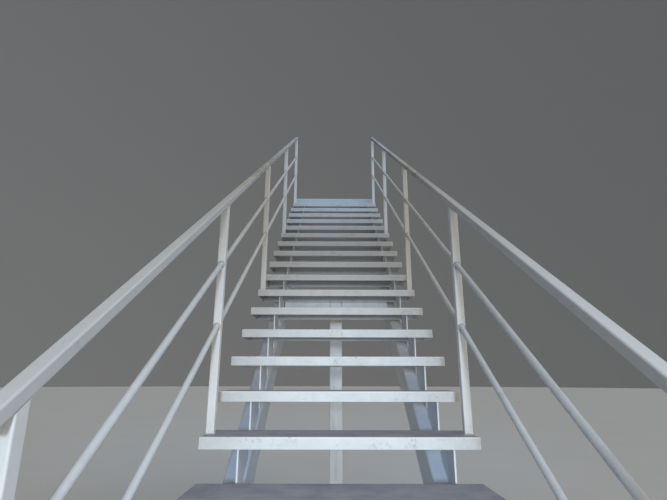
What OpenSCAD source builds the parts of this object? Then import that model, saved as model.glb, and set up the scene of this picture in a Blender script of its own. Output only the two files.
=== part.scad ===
// Open-riser steel stair flight with folded plate treads on two box stringers.
// The flight climbs along +Y. The floor is at Z = 0, and X = 0 is the middle of the treads.

/* [Flight] */
// Number of treads below the landing
tread_count = 21; // [6:1:24]
// Height of one riser
riser_h = 180; // [150:1:216]
// Level distance from one tread's front edge to the next
going = 280; // [235:1:336]

/* [Treads] */
// Length of a tread across the flight
tread_w = 1200; // [900:1:1500]
// Depth of a tread from front to rear
tread_d = 280; // [230:1:336]
// Depth of the folded lips round a tread
tread_lip = 50; // [35:1:60]
// Plate thickness of the treads and the landing edge
tread_plate = 5; // [4:0.5:8]

/* [Landing edge] */
// Depth of the landing edge from front to rear
landing_d = 100; // [80:1:160]
// Height of the landing edge's front lip
landing_lip = 185; // [120:1:200]

/* [Stringers] */
// Distance from a tread's end to the middle of its stringer
stringer_inset = 128; // [115:1:250]
// Width of a stringer
stringer_w = 100; // [60:1:120]
// Depth of a stringer, square to its slope
stringer_depth = 200; // [160:1:250]
// Upright distance from the line of tread front edges down to the stringer's top
stringer_drop = 304; // [280:1:380]

/* [Gussets] */
// Thickness of the upright plates that carry the treads
gusset_t = 8; // [5:1:12]
// How far both rows of gussets are set off to the right of their stringers
gusset_offset = 28; // [0:1:32]
// How far each row of gussets is set in from that line towards the middle
gusset_inset = 6; // [0:1:10]
// Distance from a tread's front edge to its gusset
gusset_setback = 40; // [15:1:70]
// Clearance from a gusset to a tread's rear lip
gusset_clear = 5; // [1:1:15]

/* [Rail posts] */
// Side of a square rail post
post_w = 38; // [30:1:50]
// Distance from a tread's front edge to the middle of its rail post
post_setback = 122; // [60:1:140]
// Number of treads in a bay between two rail posts, where it comes out even
bay_treads = 5; // [3:1:7]

/* [Rails] */
// Width of the top rail
top_rail_w = 38; // [30:1:60]
// Thickness of the top rail, square to its slope
top_rail_t = 32; // [20:1:50]
// Upright distance from the line of tread front edges up to the top rail's underside
top_rail_height = 1014; // [850:1:1100]
// Diameter of the round middle rails
mid_rail_dia = 25; // [12:1:30]
// Upright distance from the line of tread front edges up to the upper middle rail
upper_mid_height = 713; // [600:1:800]
// Upright distance from the line of tread front edges up to the lower middle rail
lower_mid_height = 409; // [300:1:500]
// How far the top rail runs on past the end posts, level distance
top_rail_overrun = 45; // [0:1:80]

/* [Trestle] */
// Tread that the cross beam is under
beam_tread = 12; // [3:1:20]
// Level distance from that tread's front edge to the cross beam
beam_setback = 45; // [20:1:60]
// Side of the square cross beam
beam_w = 100; // [60:1:140]
// How far the cross beam stands above the stringers' top at its front face
beam_rise = 55; // [0:1:80]
// Side of the square centre post
centre_post_w = 100; // [60:1:140]
// Side of the cap plate on the centre post
cap_w = 110; // [100:1:180]
// Thickness of the cap plate
cap_t = 8; // [4:1:12]

/* [Feet and end plates] */
// Thickness of the foot, base and end plates
foot_t = 12; // [8:1:20]
// How far a foot plate or an end plate stands out on each side of its stringer
plate_margin = 60; // [48:1:66]
// Distance from the first tread's front edge to the foot plates
foot_setback = 30; // [5:1:60]
// How far a foot plate runs on behind its stringer, and an end plate below its stringer
foot_margin = 60; // [48:1:90]
// Side of the square base plate under the centre post
base_w = 220; // [180:1:300]
// Diameter of the bolt holes in all the plates
bolt_hole_dia = 18; // [14:1:22]
// Distance from a plate's edge to the middle of its bolt holes
bolt_edge = 30; // [24:1:36]

/* [Hidden] */
slope = riser_h / going;
pitch = atan(slope);
flight_end = tread_count * going;
landing_z = (tread_count + 1) * riser_h;
landing_rear = flight_end + landing_d;
stringer_end = landing_rear - foot_t;
middle_y = landing_rear / 2;
stringer_rise = stringer_depth / cos(pitch);
stringer_low = stringer_drop + stringer_rise;
top_rail_rise = top_rail_t / cos(pitch);
post_centre_x = tread_w / 2 - post_w / 2;
bays = max(1, round((tread_count - 1) / bay_treads));
post_treads = [for (k = [0:bays]) 1 + round(k * (tread_count - 1) / bays)];
top_rail_start = post_y(0) - post_w / 2 - top_rail_overrun;
top_rail_end = post_y(bays) + post_w / 2 + top_rail_overrun;
stringer_x = tread_w / 2 - stringer_inset;
plate_w = stringer_w + 2 * plate_margin;
plate_bolt_x = plate_w / 2 - bolt_edge;
beam_start = tread_y(beam_tread) + beam_setback;
beam_top = stringer_top_z(beam_start) + beam_rise;
beam_middle = beam_start + beam_w / 2;
foot_end = stringer_foot_y(stringer_low) + foot_margin;
round_fn = 48;
cut_over = 1;
enamel = [0.72, 0.74, 0.76];
shade = [0.62, 0.63, 0.66];

// Name of a tread, with two figures
function tread_name(i) = str("tread_", i < 10 ? "0" : "", i);

// Front edge and top of a tread, counted from 1 at the floor
function tread_y(i) = (i - 1) * going;
function tread_z(i) = i * riser_h;

// Height of the line through the treads' front edges
function nosing_z(y) = riser_h + y * slope;

// Height of the stringers' top face
function stringer_top_z(y) = nosing_z(y) - stringer_drop;

// Middle of the post that ends bay k
function post_y(k) = tread_y(post_treads[k]) + post_setback;

// Where a line that runs below the front edges meets the top of the foot plate
function stringer_foot_y(below) = (foot_t + below - riser_h) / slope;

// Moves the flight so that the origin is under the middle of its box
module placed() {
    translate([0, -middle_y, 0]) children();
}

// Upright outline in Y and Z, made as thick as width from x0 towards +X
module side_plate(points, x0, width) {
    translate([x0, 0, 0]) rotate([90, 0, 90]) linear_extrude(width) polygon(points);
}

// Plate folded down in front, at the ends and perhaps at the rear, with its front upper edge at y, z
module folded_plate(y, z, depth, lip, rear_lip) {
    inner_w = tread_w - 2 * tread_plate;
    inner_d = rear_lip ? depth - 2 * tread_plate : depth;
    translate([-tread_w / 2, y, z - lip]) difference() {
        cube([tread_w, depth, lip]);
        translate([tread_plate, tread_plate, -cut_over]) cube([inner_w, inner_d, lip - tread_plate + cut_over]);
    }
}

// One tread
module tread(i) {
    color(enamel) placed() folded_plate(tread_y(i), tread_z(i), tread_d, tread_lip, true);
}

// Folded plate that closes the last riser and carries the landing's edge
module landing_edge() {
    color(enamel) placed() folded_plate(flight_end, landing_z, landing_d, landing_lip, false);
}

// Box stringer, cut level on its foot plate and upright at its end plate
module stringer(side) {
    x0 = side * stringer_x - stringer_w / 2;
    outline = [
        [stringer_foot_y(stringer_drop), foot_t],
        [stringer_foot_y(stringer_low), foot_t],
        [stringer_end, nosing_z(stringer_end) - stringer_low],
        [stringer_end, stringer_top_z(stringer_end)]
    ];
    color(shade) placed() side_plate(outline, x0, stringer_w);
}

// Gusset from the stringer up to a folded plate; the first one stands on the foot plate too
module gusset(x0, front, rear, top) {
    knee = stringer_foot_y(stringer_drop);
    low = stringer_top_z(front) > foot_t
        ? [[front, stringer_top_z(front)]]
        : [[front, foot_t], [min(knee, rear), foot_t]];
    rear_low = max(stringer_top_z(rear), foot_t);
    high = [[rear, rear_low], [rear, top], [front, top]];
    side_plate(concat(low, high), x0, gusset_t);
}

// Row of gussets under one side of the flight
module gussets(side) {
    x0 = side * (stringer_x - gusset_inset) + gusset_offset - gusset_t / 2;
    rear_gap = tread_plate + gusset_clear;
    color(enamel) placed() {
        for (i = [1:tread_count]) {
            front = tread_y(i) + gusset_setback;
            rear = tread_y(i) + tread_d - rear_gap;
            gusset(x0, front, rear, tread_z(i) - tread_plate);
        }
        gusset(x0, flight_end + gusset_setback, stringer_end, landing_z - tread_plate);
    }
}

// Level plate under the foot of a stringer, with a bolt hole at each corner
module foot_plate(side) {
    length = foot_end - foot_setback;
    color(shade) placed() translate([side * stringer_x, foot_setback, 0]) difference() {
        translate([-plate_w / 2, 0, 0]) cube([plate_w, length, foot_t]);
        for (x = [-plate_bolt_x, plate_bolt_x], y = [bolt_edge, length - bolt_edge]) bolt_hole([x, y, 0]);
    }
}

// Upright plate on the end of a stringer, up to the landing edge, with a bolt hole at each corner
module end_plate(side) {
    low = nosing_z(stringer_end) - stringer_low - foot_margin;
    high = landing_z - tread_plate;
    color(shade) placed() translate([side * stringer_x, stringer_end, 0]) difference() {
        translate([-plate_w / 2, 0, low]) cube([plate_w, foot_t, high - low]);
        for (x = [-plate_bolt_x, plate_bolt_x], z = [low + bolt_edge, high - bolt_edge])
            translate([x, 0, z]) rotate([-90, 0, 0]) bolt_hole([0, 0, 0]);
    }
}

// Round hole through a plate that lies in the XY plane
module bolt_hole(at) {
    translate(at - [0, 0, cut_over])
        cylinder(h = foot_t + 2 * cut_over, d = bolt_hole_dia, $fn = round_fn);
}

// Square posts that stand on the treads and carry the top rail
module rail_posts(side) {
    x0 = side * post_centre_x - post_w / 2;
    color(enamel) placed() for (k = [0:bays]) {
        front = post_y(k) - post_w / 2;
        rear = post_y(k) + post_w / 2;
        foot = tread_z(post_treads[k]);
        outline = [
            [front, foot],
            [rear, foot],
            [rear, nosing_z(rear) + top_rail_height],
            [front, nosing_z(front) + top_rail_height]
        ];
        side_plate(outline, x0, post_w);
    }
}

// Flat rail along the tops of the posts
module top_rail(side) {
    x0 = side * post_centre_x - top_rail_w / 2;
    under = [for (y = [top_rail_start, top_rail_end]) nosing_z(y) + top_rail_height];
    outline = [
        [top_rail_start, under[0]],
        [top_rail_end, under[1]],
        [top_rail_end, under[1] + top_rail_rise],
        [top_rail_start, under[0] + top_rail_rise]
    ];
    color(enamel) placed() side_plate(outline, x0, top_rail_w);
}

// Round bars that run from post to post at one height
module mid_rail(side, height) {
    color(enamel) placed() for (k = [1:bays]) {
        start = post_y(k - 1) + post_w / 2;
        end = post_y(k) - post_w / 2;
        centre = (start + end) / 2;
        reach = (end - start) / cos(pitch) + 4 * mid_rail_dia;
        intersection() {
            translate([side * post_centre_x, centre, nosing_z(centre) + height])
                rotate([pitch - 90, 0, 0])
                    cylinder(h = reach, d = mid_rail_dia, center = true, $fn = round_fn);
            translate([side * post_centre_x - post_w, start, 0]) cube([2 * post_w, end - start, 2 * landing_z]);
        }
    }
}

// Half of the cross beam, from the centre post to the inner face of a stringer
module cross_beam(side) {
    length = stringer_x - stringer_w / 2 - centre_post_w / 2;
    middle = side * (centre_post_w / 2 + length / 2);
    color(shade) placed() translate([middle - length / 2, beam_start, beam_top - beam_w])
        cube([length, beam_w, beam_w]);
}

// Square post in the middle of the flight
module centre_post() {
    color(enamel) placed() translate([-centre_post_w / 2, beam_middle - centre_post_w / 2, foot_t])
        cube([centre_post_w, centre_post_w, beam_top - foot_t]);
}

// Plate that closes the top of the centre post
module post_cap() {
    color(enamel) placed() translate([-cap_w / 2, beam_middle - cap_w / 2, beam_top])
        cube([cap_w, cap_w, cap_t]);
}

// Plate under the centre post, with a bolt hole at each corner
module post_base_plate() {
    reach = base_w / 2 - bolt_edge;
    color(shade) placed() translate([0, beam_middle, 0]) difference() {
        translate([-base_w / 2, -base_w / 2, 0]) cube([base_w, base_w, foot_t]);
        for (x = [-reach, reach], y = [-reach, reach]) bolt_hole([x, y, 0]);
    }
}

for (i = [1:tread_count]) tread(i);
landing_edge();
stringer(-1);  // stringer_left
stringer(1);  // stringer_right
gussets(-1);  // gussets_left
gussets(1);  // gussets_right
foot_plate(-1);  // foot_plate_left
foot_plate(1);  // foot_plate_right
end_plate(-1);  // end_plate_left
end_plate(1);  // end_plate_right
rail_posts(-1);  // rail_posts_left
rail_posts(1);  // rail_posts_right
top_rail(-1);  // top_rail_left
top_rail(1);  // top_rail_right
mid_rail(-1, upper_mid_height);  // upper_mid_rail_left
mid_rail(1, upper_mid_height);  // upper_mid_rail_right
mid_rail(-1, lower_mid_height);  // lower_mid_rail_left
mid_rail(1, lower_mid_height);  // lower_mid_rail_right
cross_beam(-1);  // cross_beam_left
cross_beam(1);  // cross_beam_right
centre_post();
post_cap();
post_base_plate();
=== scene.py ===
"""Looks of an open-riser steel stair flight: folds, rounded tubes, weld beads, bolts and worn enamel with
painted shade and highlights.
"""
import math
import random

import bmesh
import bpy
from bpy.props import FloatProperty, FloatVectorProperty, IntProperty, PointerProperty
from mathutils import Matrix, Vector


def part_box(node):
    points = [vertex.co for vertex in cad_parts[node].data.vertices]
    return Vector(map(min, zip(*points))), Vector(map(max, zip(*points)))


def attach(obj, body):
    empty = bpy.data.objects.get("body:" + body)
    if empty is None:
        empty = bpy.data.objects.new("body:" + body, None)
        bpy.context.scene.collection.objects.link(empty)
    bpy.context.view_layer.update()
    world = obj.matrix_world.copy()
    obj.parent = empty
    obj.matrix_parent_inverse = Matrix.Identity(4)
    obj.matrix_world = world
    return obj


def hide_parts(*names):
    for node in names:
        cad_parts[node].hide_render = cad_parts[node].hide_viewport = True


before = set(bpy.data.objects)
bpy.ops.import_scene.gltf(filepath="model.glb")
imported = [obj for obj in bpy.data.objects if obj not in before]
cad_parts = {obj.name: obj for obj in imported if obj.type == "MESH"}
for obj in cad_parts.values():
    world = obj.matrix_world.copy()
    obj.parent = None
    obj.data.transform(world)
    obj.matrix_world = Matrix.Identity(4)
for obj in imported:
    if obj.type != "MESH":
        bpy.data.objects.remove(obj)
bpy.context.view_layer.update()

bl_info = {
    "name": "Open-Riser Steel Stair",
    "version": (1, 0, 0),
    "blender": (4, 5, 0),
    "location": "View3D > Sidebar > Stair",
    "description": "Gives a packed steel stair flight its folds, welds, bolts and worn enamel",
    "category": "Add Mesh",
}

BODY = "root"
SIDES = {"left": -1, "right": 1}
AXIS_X = Vector((1, 0, 0))
AXIS_Y = Vector((0, 1, 0))
AXIS_Z = Vector((0, 0, 1))
JOIN_DISTANCE = 1e-5
FLAT_ANGLE = math.radians(0.5)
SHARP_ANGLE = math.radians(25)
PARALLEL = 0.999
FACING_DOWN = -0.5

# Numbers of the mixing node's sockets, since its colour sockets share their names with others
MIX_FACTOR, MIX_UNDER, MIX_OVER = 0, 6, 7

# A folded plate's materials: on its outer faces, on its inner and lower faces, and on its folds
OUTER, INNER, FOLDS = range(3)

# Where shoes have struck the treads' front lips: tread, place across the flight and half width
KICKS = (
    (4, -0.11, 0.14), (6, -0.341, 0.012), (6, -0.286, 0.014), (6, -0.205, 0.03), (6, 0.235, 0.15),
    (7, 0.31, 0.05), (8, 0.06, 0.13), (9, -0.03, 0.10), (11, 0.12, 0.09), (14, -0.2, 0.12), (18, 0.16, 0.14),
)

# Paint drips that show from the foot of the flight: tread and place across, then how many hang elsewhere
DRIPS = (
    ("tread_08", -0.338), ("tread_08", 0.019), ("tread_06", 0.412), ("tread_07", -0.21), ("tread_10", 0.3),
)
MORE_DRIPS = 12

# How far from the middle those hang, limits of a drip's radius and length, how far it stands in from its
# lip's face, and the faces round it
DRIP_REACH = 0.55
DRIP_RADIUS = (0.0013, 0.0021)
DRIP_LENGTH = (0.004, 0.009)
DRIP_INSET = 0.0026
DRIP_SIDES = 14

# A drip's outline from its root down: share of its radius, then of its length
DRIP_PROFILE = (
    (0.75, -0.001), (1.0, 0.0), (0.72, 0.22), (0.60, 0.45), (0.74, 0.68), (0.62, 0.88), (0.25, 1.0),
)

# Bolts: faces round one, slope of a nut's chamfer and how near the points of one hole's rim lie
BOLT_SIDES = 36
NUT_SLOPE = math.radians(30)
RIM_REACH = 0.025

# Limits between which a mask goes from none to full: along the flight, across it, over the floor, over the
# treads' front edges, and up or down from a kick's middle
# Where the painted blue shade sets in along the flight
BLUE_SHADE_FROM = (-0.5, -1.3)
HANDLED_FROM = (-1.3, -0.6)
# Where the painted shade on the treads' outer ends sets in across the flight
TREAD_END = (0.30, 0.58)
SPLASHED = (0.35, 0.0)
POST_FOOT = (0.05, -0.085)
KICK_HEIGHT = (0.032, 0.014)

# The same for masks on one part of a face's normal
FACES_FRONT = (-0.5, -0.9)
FACES_AWAY = (-0.9, -0.5)
FACES_DOWN = (-0.35, -0.95)
LIES_LEVEL = (0.35, 0.97)
STANDS_UP = (0.6, 0.2)

# Shares of a bead's leg: how deep its back lies, how far its face is hollowed, its size at an end and how
# far it swings from place to place
BEAD_BACK = 0.25
BEAD_HOLLOW = 0.22
BEAD_END = 0.55
BEAD_SWING = (0.93, 1.05)

# Flat faces across a bead, straight runs of a bead round a tube's corner, and stitches on one seam
BEAD_FACETS = 3
CORNER_FACETS = 4
STITCHES = 3

# Share of a fill's leg that it stands in from the outer face of a rounded tube
FILL_INSET = 1.15
# Share of a post's depth that the fills on its head stop short of either end
FILL_SHORT = 0.1
# Share of a fill's leg that it reaches into the centre post
FILL_OVERLAP = 0.6

# First seed of the random draws in each group
GUSSET_SEED = 21
POST_SEED = 31
BAR_SEED = 41
FRAME_SEED = 51
CENTRE_SEED = 61
BOLT_SEED = 7
DRIP_SEED = 5

# Faces across the eased edges of plates and bars
EASED_STEPS = 2

# Plates that lie on the floor, and plates that stand at the stringers' upper ends
FLOOR_PLATES = ("foot_plate_left", "foot_plate_right", "post_base_plate")
END_PLATES = ("end_plate_left", "end_plate_right")

# Cells along each side of the floor, faces round the backdrop, and its base colour
FLOOR_CELLS = 8
DOME_GORES = 64
DOME_GREY = (0.2, 0.2, 0.2, 1.0)

# Each wide soft light: its colour in the stage's settings, its direction and the cosine at its edge
GLOWS = (
    ("side_glow", (0.8, -0.4, 0.45), 0.5),
    ("front_glow", (0.0, -0.8, 0.6), 0.5),
    ("top_glow", (0.0, 0.0, 1.0), 0.6),
)


def length(text, hint, size, low=0.0, high=100.0):
    """A length in metres that a user may change."""
    return FloatProperty(name=text, description=hint, default=size, min=low, max=high, precision=4,
                         unit="LENGTH")


def share(text, hint, size):
    """A plain factor that a user may change."""
    return FloatProperty(name=text, description=hint, default=size, min=0.0, max=1.0, subtype="FACTOR")


def tint(text, hint, colour):
    """A colour that a user may change."""
    return FloatVectorProperty(name=text, description=hint, default=colour, size=3, min=0, max=1,
                               subtype="COLOR")


def spot(text, hint, place):
    """A place round the stair that a user may change."""
    return FloatVectorProperty(name=text, description=hint, default=place, size=3, subtype="TRANSLATION",
                               unit="LENGTH")


def angle(text, hint, degrees):
    """An angle that a user may change."""
    return FloatProperty(name=text, description=hint, default=math.radians(degrees), subtype="ANGLE")


def power(text, hint, watts):
    """A lamp's strength that a user may change."""
    return FloatProperty(name=text, description=hint, default=watts, min=0.0, unit="POWER")


def optics(text, hint, millimetres):
    """A length inside the camera that a user may change."""
    return FloatProperty(name=text, description=hint, default=millimetres, min=1.0, unit="CAMERA")


class StairRounding(bpy.types.PropertyGroup):
    """Radii of the folds, tubes and plate edges."""

    fold: length("Fold", "Outer radius where a tread's plate turns down into its lips", 0.006)
    fold_inside: length("Inside fold", "Inner radius of the same fold", 0.0015)
    tray_corner: length("Tray corner", "Radius of a tread's upright corners, welded and ground", 0.0035)
    plate: length("Plate edge", "Radius on the cut edges of plates and lips", 0.0008)
    stringer: length("Stringer corner", "Corner radius of the stringer tube", 0.011)
    post: length("Post corner", "Corner radius of the rail post tube", 0.0045)
    rail: length("Rail corner", "Corner radius of the top rail tube", 0.0055)
    trestle: length("Trestle corner", "Corner radius of the cross beam and the centre post", 0.009)
    steps: IntProperty(name="Steps", description="Faces across each rounded edge", default=4, min=1, max=8)


class StairWelds(bpy.types.PropertyGroup):
    """Sizes of the weld beads."""

    gusset_leg: length("Gusset leg", "Leg of the fillet along a gusset", 0.003)
    post_leg: length("Post leg", "Leg of the fillet round a rail post", 0.0045)
    bar_leg: length("Bar leg", "Leg of the fillet round a bar's end", 0.006)
    frame_leg: length("Frame leg", "Leg of the fillet round stringers, beams and plates", 0.007)
    fill_leg: length("Fill leg", "Depth of the fill where two rounded tubes meet flush", 0.0038)
    stitch: length("Stitch", "Length of one stitch on a gusset seam", 0.048)
    turn: length("Turn", "How far a bead runs back on both faces of a gusset's front edge", 0.03)
    corner_clear: length("Clear corner", "How far stitches stay off an end plate's corners", 0.01)
    ripple: length("Ripple", "Distance between two ripples of a bead", 0.0036)
    depth: share("Ripple depth", "How far a bead sinks between its ripples, as a share of its leg", 0.14)


class StairBolts(bpy.types.PropertyGroup):
    """Sizes of the anchor bolts."""

    stud: length("Stud", "Thread diameter of an anchor bolt", 0.016)
    across: length("Across flats", "Width of a nut across its flats", 0.024)
    nut: length("Nut", "Height of a nut", 0.0135)
    washer: length("Washer", "Outer diameter of a washer", 0.030)
    washer_t: length("Washer thickness", "Thickness of a washer", 0.003)
    beyond: length("Stud end", "How far a stud stands out of its nut", 0.009)
    pitch: length("Pitch", "Distance between two turns of a stud's thread", 0.002)
    thread: length("Thread depth", "How deep a stud's thread is cut", 0.0009)
    tip: length("Stud tip", "How much a stud is turned down at its end", 0.0022)
    off_floor: length("Off the floor", "How far a stud's lower end stays above the floor", 0.0005)
    rim: length("Washer rim", "Chamfer on a washer's upper edge", 0.0006)
    nut_face: share("Nut face", "Width of a nut's flat face, as a share of its width across flats", 0.97)


class StairFinish(bpy.types.PropertyGroup):
    """Colours of the enamel and of what has worn it, some of them also painted shade."""

    enamel: tint("Enamel", "Off-white enamel in clean places", (0.79, 0.805, 0.80))
    # Painted shade: the cool light in the shade near the foot, laid into the enamel's colour
    enamel_blue_shade: tint("Cool enamel", "The same enamel in shade, near the foot", (0.70, 0.80, 0.92))
    enamel_warm: tint("Aged enamel", "The same enamel where it has yellowed", (0.765, 0.765, 0.755))
    # Dust on the level faces, darker and bluer than dust alone: partly painted shade of the cool light on
    # them
    dust_and_shade: tint("Dust", "Dust that lies on level faces", (0.305, 0.32, 0.415))
    dust_and_shade_dark: tint("Dark dust", "Darker grains in the dust", (0.226, 0.237, 0.306))
    # The grime colour also serves as painted shade: on downward faces, under the treads, at the treads' ends
    # and at the posts' feet
    grime: tint("Grime", "Brown-grey film in corners and under the treads", (0.17, 0.145, 0.13))
    scuff: tint("Scuff", "Grey rub marks of shoes", (0.42, 0.43, 0.43))
    primer: tint("Primer", "Grey primer that shows in chips", (0.16, 0.17, 0.18))
    zinc: tint("Zinc", "Bright zinc on the bolts", (0.55, 0.56, 0.57))
    kick_drop: length("Kick height", "How far under a tread's top shoes strike its front lip", 0.024)
    peel: length("Orange peel", "Height of the fine grain that spraying leaves", 1.6e-5)
    wave: length("Wave", "Height of the wide unevenness under the enamel", 2.5e-4)
    chip_depth: length("Chip depth", "How deep a chip lies under the enamel", 3e-5)
    nick_depth: length("Nick depth", "How deep a nick on a tread's fold lies", 1.2e-4)
    bead_grain: length("Bead grain", "Height of the grain on a weld bead", 1.2e-4)
    zinc_grain: length("Zinc grain", "Height of the grain on the bolts", 5e-5)


class StairView(bpy.types.PropertyGroup):
    """Camera that sees the flight from its foot."""

    lens: optics("Lens", "Focal length on the sensor's width", 25.04)
    sensor: optics("Sensor", "Width of the sensor", 36.0)
    reach: length("Reach", "How far the camera sees", 200.0, high=1000.0)
    aside: length("Aside", "Camera position across the flight", -0.038, low=-100.0)
    along: length("Along", "Camera position along the flight", -3.7054, low=-100.0)
    height: length("Height", "Camera height over the floor", 1.3184)
    tilt: angle("Tilt", "How far it looks up", 15.53)
    turn: angle("Turn", "How far it looks to the right", 0.25)
    roll: angle("Roll", "How far it leans", 0.11)


class StairStage(bpy.types.PropertyGroup):
    """Floor and light round the stair."""

    floor_size: length("Floor", "Side of the square floor", 180.0, high=1000.0)
    floor: tint("Floor colour", "Pale floor", (0.76, 0.79, 0.83))
    floor_matt: share("Floor roughness", "How matt the floor is", 0.85)
    floor_grain: length("Floor grain", "Height of the floor's fine grain", 1e-4)
    dome_share: share("Dome", "Radius of the backdrop, as a share of the floor's side", 0.48)
    backdrop: tint("Backdrop", "Plain grey all round", (0.115, 0.122, 0.130))
    backdrop_shine: share("Backdrop shine", "How strongly the backdrop shines by itself", 0.65)
    key_power: power("Key power", "Watts of the front light", 930.0)
    key_angle: angle("Key angle", "Opening of the front light", 33)
    key_blend: share("Key blend", "Part of its beam in which the front light fades", 0.55)
    key_radius: length("Key radius", "Radius of the front light", 0.5)
    key_width: share("Key width", "Width of its beam, as a share of its height", 0.60)
    key_place: spot("Key place", "Where the front light stands", (0.2, -7.0, 1.6))
    key_target: spot("Key target", "What the front light points at", (0.03, -2.0, 0.78))
    key_colour: tint("Key colour", "Colour of the front light", (0.71, 0.845, 1.0))
    hall_power: power("Hall power", "Watts of the light over the landing", 15.0)
    hall_size: length("Hall size", "Side of the square light over the landing", 2.5)
    hall_spread: angle("Hall spread", "Opening of its beam", 65)
    hall_place: spot("Hall place", "Where the light over the landing hangs", (0.4, -1.5, 7.0))
    hall_target: spot("Hall target", "What it points at", (0.0, 3.2, 3.8))
    hall_colour: tint("Hall colour", "Colour of the light over the landing", (0.22, 0.55, 1.0))
    ambient: tint("Ambient", "Soft light from all round", (0.032, 0.038, 0.055))
    side_glow: tint("Side glow", "Wide soft light from the right", (0.80, 0.80, 0.78))
    front_glow: tint("Front glow", "Wide soft light from the front", (0.20, 0.13, 0.02))
    top_glow: tint("Top glow", "Wide soft light from overhead", (0.44, 0.455, 0.44))


class Flight:
    """Places and slopes of the stair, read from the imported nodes."""

    def __init__(self):
        self.treads = sorted(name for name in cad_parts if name.startswith("tread_"))
        first, second = (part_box(name) for name in self.treads[:2])
        self.riser = second[1].z - first[1].z
        self.going = second[0].y - first[0].y
        self.slope = self.riser / self.going
        self.pitch = math.atan(self.slope)
        self.up_slope = Vector((0, math.cos(self.pitch), math.sin(self.pitch)))
        self.off_slope = Vector((0, -math.sin(self.pitch), math.cos(self.pitch)))
        self.front = first[0].y
        self.first_top = first[1].z


flight = Flight()


class Finish:
    """Builds one procedural material, layer by layer, in the stair's own coordinates."""

    def __init__(self, name):
        self.material = bpy.data.materials.new(name)
        self.material.use_nodes = True
        self.tree = self.material.node_tree
        self.tree.nodes.clear()
        self.place = self.node("ShaderNodeTexCoord").outputs["Object"]
        self.x, self.y, self.z = self.split(self.place)
        self.facing_y, self.facing_z = self.split(self.node("ShaderNodeNewGeometry").outputs["Normal"])[1:]

    def node(self, kind, inputs=None, **settings):
        """Adds a node with its settings, and links or sets its inputs."""
        node = self.tree.nodes.new(kind)
        for key, value in settings.items():
            setattr(node, key, value)
        for key, value in (inputs or {}).items():
            if isinstance(value, bpy.types.NodeSocket):
                self.tree.links.new(value, node.inputs[key])
            else:
                node.inputs[key].default_value = value
        return node

    def split(self, vector):
        """The three parts of a vector."""
        return tuple(self.node("ShaderNodeSeparateXYZ", {"Vector": vector}).outputs)

    def maths(self, operation, first, second=0.0, third=0.0):
        """One sum on plain numbers."""
        return self.node("ShaderNodeMath", {0: first, 1: second, 2: third}, operation=operation).outputs[0]

    def times(self, *values):
        """Product of several masks."""
        result = values[0]
        for value in values[1:]:
            result = self.maths("MULTIPLY", result, value)
        return result

    def ramp(self, value, low, high, start=0.0, end=1.0):
        """Smooth step of a value from low to high."""
        inputs = {"Value": value, "From Min": low, "From Max": high, "To Min": start, "To Max": end}
        return self.node("ShaderNodeMapRange", inputs, interpolation_type="SMOOTHSTEP").outputs["Result"]

    def noise(self, scale, detail=2.0, rough=0.5, stretch=(1, 1, 1), shift=0.0):
        """Cloudy pattern with so many features to the metre."""
        moved = {"Vector": self.place, "Scale": stretch, "Location": (shift,) * 3}
        place = self.node("ShaderNodeMapping", moved).outputs["Vector"]
        inputs = {"Vector": place, "Scale": scale, "Detail": detail, "Roughness": rough}
        return self.node("ShaderNodeTexNoise", inputs).outputs["Fac"]

    def mix(self, factor, under, over):
        """One colour laid over another."""
        node = self.node("ShaderNodeMix", data_type="RGBA")
        for index, value in ((MIX_FACTOR, factor), (MIX_UNDER, under), (MIX_OVER, over)):
            if isinstance(value, bpy.types.NodeSocket):
                self.tree.links.new(value, node.inputs[index])
            elif index == MIX_FACTOR:
                node.inputs[index].default_value = value
            else:
                node.inputs[index].default_value = (*value[:3], 1.0)
        return node.outputs[2]

    def kicked(self):
        """Places on the treads' front lips that shoes have struck."""
        look = bpy.context.scene.stair_finish
        result = 0.0
        for number, x, half_width in KICKS:
            z = number * flight.riser - look.kick_drop
            across = self.maths("ABSOLUTE", self.maths("SUBTRACT", self.x, x))
            up = self.maths("ABSOLUTE", self.maths("SUBTRACT", self.z, z))
            mark = self.times(self.ramp(across, half_width, half_width * 0.5), self.ramp(up, *KICK_HEIGHT))
            result = self.maths("MAXIMUM", result, mark)
        return self.times(result, self.ramp(self.facing_y, *FACES_FRONT))

    def close(self, colour, roughness, height, metal=0.0, gloss=0.5):
        """Joins the layers in one surface, with the height in metres as its relief."""
        relief = self.node("ShaderNodeBump", {"Height": height, "Distance": 1.0, "Strength": 1.0})
        return self.end({"Base Color": colour, "Roughness": roughness, "Metallic": metal,
                         "Normal": relief.outputs["Normal"], "Specular IOR Level": gloss})

    def end(self, inputs):
        """Ends the tree in one surface with these inputs."""
        surface = self.node("ShaderNodeBsdfPrincipled", inputs)
        self.node("ShaderNodeOutputMaterial", {"Surface": surface.outputs["BSDF"]})
        return self.material


def toned(colour, tone):
    """A colour made lighter or darker."""
    return tuple(part * tone for part in colour)


def built_once(build):
    """Lets a call with a material's name build it the first time, and find it again after that."""

    def give(name, **settings):
        if name in bpy.data.materials:
            return bpy.data.materials[name]
        return build(Finish(name), bpy.context.scene.stair_finish, **settings)

    return give


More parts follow.
